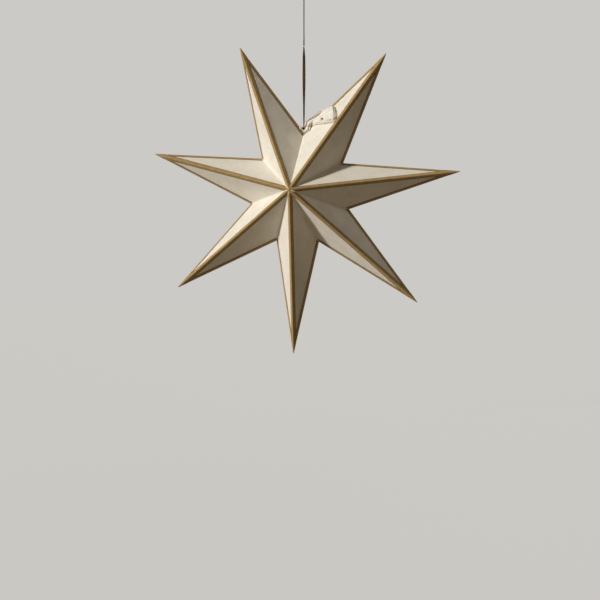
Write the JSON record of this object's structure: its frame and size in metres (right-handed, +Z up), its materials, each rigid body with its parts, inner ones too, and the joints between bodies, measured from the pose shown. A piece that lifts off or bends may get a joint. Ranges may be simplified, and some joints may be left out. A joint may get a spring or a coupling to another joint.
{
  "type": "folded paper star ornament",
  "caption": "Hanging pointed star folded from white handmade paper, with gold paper edging, a ribbon to hang it by and a white tie.",
  "frame": {"origin": "inside the top of the hanging ribbon's loop, where a hook or nail holds it", "axes": "+Z up along the taut ribbon, -Y towards the star's front, +X to the right seen from the front"},
  "size_m": [0.5911, 0.1694, 0.731],
  "materials": {
    "white_sheet": "uncoated, fibrous",
    "gold_strip": "metallic gold coating, satin",
    "hanging_ribbon": "bronze satin",
    "tie_ribbon": "crumpled soft cotton"
  },
  "bodies": {
    "root": {"back_end_sheet_left": "white_sheet", "back_end_sheet_right": "white_sheet", "back_ridge_strip_1": "gold_strip", "back_ridge_strip_2": "gold_strip", "back_ridge_strip_3": "gold_strip", "back_ridge_strip_4": "gold_strip", "back_ridge_strip_5": "gold_strip", "back_ridge_strip_6": "gold_strip", "back_ridge_strip_7": "gold_strip", "back_sheet_1": "white_sheet", "back_sheet_2": "white_sheet", "back_sheet_3": "white_sheet", "back_sheet_4": "white_sheet", "back_sheet_5": "white_sheet", "back_sheet_6": "white_sheet", "front_end_sheet_left": "white_sheet", "front_end_sheet_right": "white_sheet", "front_ridge_strip_1": "gold_strip", "front_ridge_strip_2": "gold_strip", "front_ridge_strip_3": "gold_strip", "front_ridge_strip_4": "gold_strip", "front_ridge_strip_5": "gold_strip", "front_ridge_strip_6": "gold_strip", "front_ridge_strip_7": "gold_strip", "front_sheet_1": "white_sheet", "front_sheet_2": "white_sheet", "front_sheet_3": "white_sheet", "front_sheet_4": "white_sheet", "front_sheet_5": "white_sheet", "front_sheet_6": "white_sheet", "hanging_knot": "hanging_ribbon", "hanging_loop": "hanging_ribbon", "hanging_ribbon": "hanging_ribbon", "left_edge_strip_1": "gold_strip", "left_edge_strip_2": "gold_strip", "left_edge_strip_3": "gold_strip", "left_edge_strip_4": "gold_strip", "left_edge_strip_5": "gold_strip", "left_edge_strip_6": "gold_strip", "left_edge_strip_7": "gold_strip", "loop_knot": "hanging_ribbon", "right_edge_strip_1": "gold_strip", "right_edge_strip_2": "gold_strip", "right_edge_strip_3": "gold_strip", "right_edge_strip_4": "gold_strip", "right_edge_strip_5": "gold_strip", "right_edge_strip_6": "gold_strip", "right_edge_strip_7": "gold_strip", "tie_knot": "tie_ribbon", "tie_ribbon": "tie_ribbon"}
  },
  "joints": []
}
